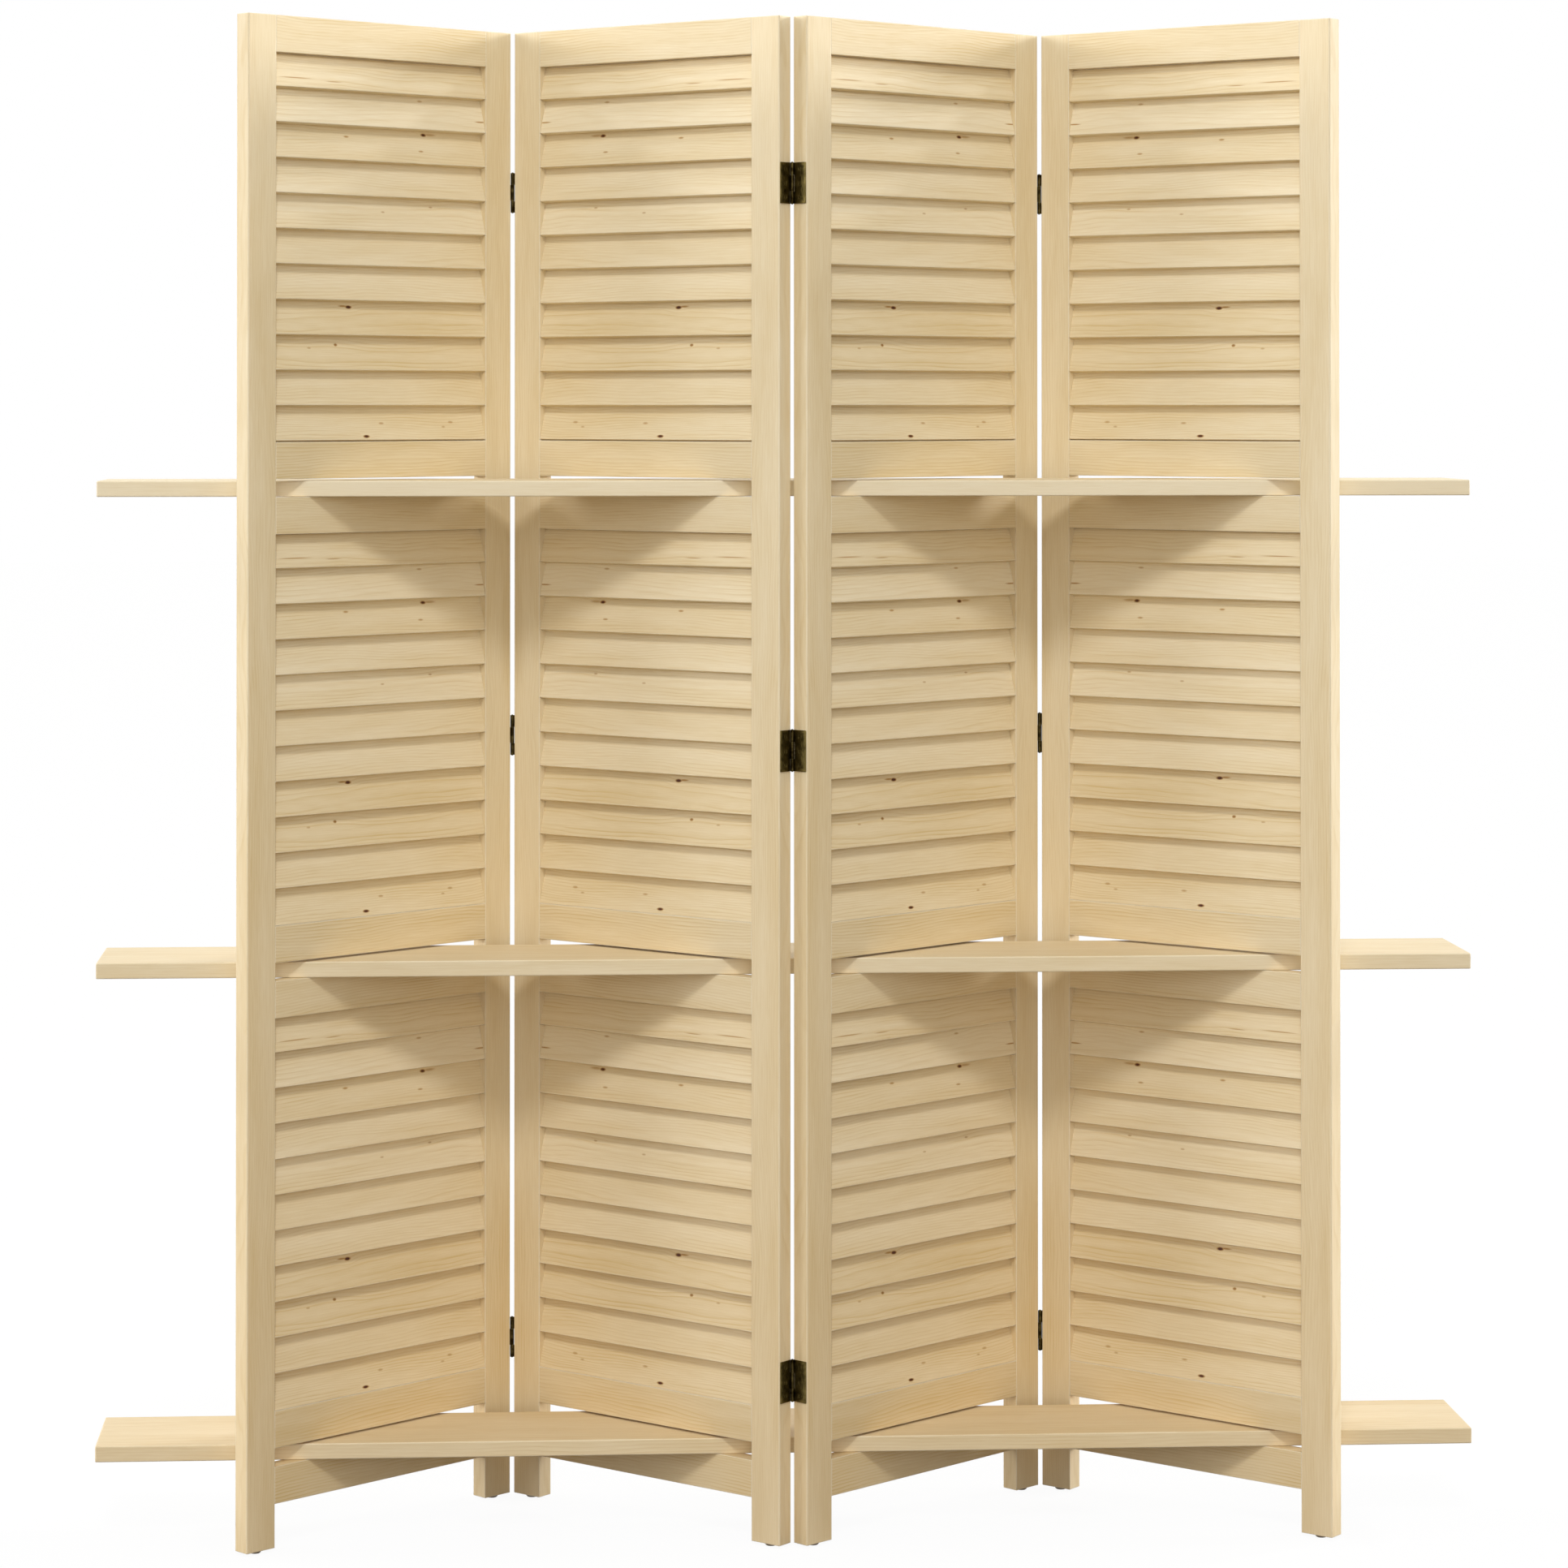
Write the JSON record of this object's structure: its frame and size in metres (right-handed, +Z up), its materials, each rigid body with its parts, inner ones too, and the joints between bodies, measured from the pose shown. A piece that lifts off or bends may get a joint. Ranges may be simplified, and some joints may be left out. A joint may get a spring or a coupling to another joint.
{
  "type": "folding screen with shelves",
  "caption": "Folding louvre screen whose hinged panels stand in a zigzag, with long boards slid through slots in all panels as display shelves.",
  "frame": {"origin": "on the floor under the middle of the bounding box: midway between the front and the back hinge lines and under the middle fold", "axes": "+Z up, +X along the shelves to the viewer's right, -Y towards the viewer, at the front"},
  "size_m": [1.546, 0.2713, 1.7],
  "materials": {
    "stile_wood": "satin",
    "rail_wood": "satin",
    "slat_wood": "satin",
    "shelf_wood": "satin",
    "hinge_metal": "antique",
    "glide_plastic": "matte"
  },
  "bodies": {
    "panel_1": {"panel_1_stile_left": "stile_wood", "panel_1_stile_right": "stile_wood", "panel_1_rail_top": "rail_wood", "panel_1_rails_over_shelves": "rail_wood", "panel_1_rails_under_shelves": "rail_wood", "panel_1_rail_base": "rail_wood", "panel_1_slats_upper": "slat_wood", "panel_1_slats_middle": "slat_wood", "panel_1_slats_lower": "slat_wood", "panel_1_glides": "glide_plastic", "hinges_1_2_leaves_left": "hinge_metal"},
    "panel_2": {"panel_2_stile_left": "stile_wood", "panel_2_stile_right": "stile_wood", "panel_2_rail_top": "rail_wood", "panel_2_rails_over_shelves": "rail_wood", "panel_2_rails_under_shelves": "rail_wood", "panel_2_rail_base": "rail_wood", "panel_2_slats_upper": "slat_wood", "panel_2_slats_middle": "slat_wood", "panel_2_slats_lower": "slat_wood", "panel_2_glides": "glide_plastic", "hinges_1_2_leaves_right": "hinge_metal", "hinges_1_2_pins": "hinge_metal", "hinges_2_3_leaves_left": "hinge_metal", "hinges_2_3_pin_middle": "hinge_metal"},
    "panel_3": {"panel_3_stile_left": "stile_wood", "panel_3_stile_right": "stile_wood", "panel_3_rail_top": "rail_wood", "panel_3_rails_over_shelves": "rail_wood", "panel_3_rails_under_shelves": "rail_wood", "panel_3_rail_base": "rail_wood", "panel_3_slats_upper": "slat_wood", "panel_3_slats_middle": "slat_wood", "panel_3_slats_lower": "slat_wood", "panel_3_glides": "glide_plastic", "hinges_2_3_leaves_right": "hinge_metal", "hinges_3_4_leaves_left": "hinge_metal"},
    "panel_4": {"panel_4_stile_left": "stile_wood", "panel_4_stile_right": "stile_wood", "panel_4_rail_top": "rail_wood", "panel_4_rails_over_shelves": "rail_wood", "panel_4_rails_under_shelves": "rail_wood", "panel_4_rail_base": "rail_wood", "panel_4_slats_upper": "slat_wood", "panel_4_slats_middle": "slat_wood", "panel_4_slats_lower": "slat_wood", "panel_4_glides": "glide_plastic", "hinges_3_4_leaves_right": "hinge_metal", "hinges_3_4_pins": "hinge_metal"},
    "centre_hinge_pins": {"hinges_2_3_pins": "hinge_metal"},
    "shelf_upper": {"shelf_upper": "shelf_wood"},
    "shelf_middle": {"shelf_middle": "shelf_wood"},
    "shelf_lower": {"shelf_lower": "shelf_wood"}
  },
  "joints": [
    {"name": "fold_2_3", "type": "hinge", "parent": "panel_2", "child": "panel_3", "pos_m": [0, -0.12199, 0.8825], "axis": [0, 0, 1], "range_deg": [-13, 97]},
    {"name": "fold_1_2", "type": "hinge", "parent": "panel_2", "child": "panel_1", "pos_m": [-0.30878, 0.12199, 0.8825], "axis": [0, 0, 1], "range_deg": [-13, 97]},
    {"name": "fold_3_4", "type": "hinge", "parent": "panel_3", "child": "panel_4", "pos_m": [0.30878, 0.12199, 0.8825], "axis": [0, 0, 1], "range_deg": [-97, 13]},
    {"name": "pin_turn", "type": "hinge", "parent": "panel_2", "child": "centre_hinge_pins", "pos_m": [0, -0.12199, 0.8825], "axis": [0, 0, 1], "range_deg": [-6.5, 48.5]},
    {"name": "slide_upper", "type": "slide", "parent": "centre_hinge_pins", "child": "shelf_upper", "axis": [1, 0, 0], "range_m": [-1.4, 1.4]},
    {"name": "slide_middle", "type": "slide", "parent": "centre_hinge_pins", "child": "shelf_middle", "axis": [1, 0, 0], "range_m": [-1.4, 1.4]},
    {"name": "slide_lower", "type": "slide", "parent": "centre_hinge_pins", "child": "shelf_lower", "axis": [1, 0, 0], "range_m": [-1.4, 1.4]}
  ],
  "couplings": [
    {"joint": "fold_1_2", "follows": "fold_2_3", "ratio": 1},
    {"joint": "fold_3_4", "follows": "fold_2_3", "ratio": -1},
    {"joint": "pin_turn", "follows": "fold_2_3", "ratio": 0.5}
  ]
}
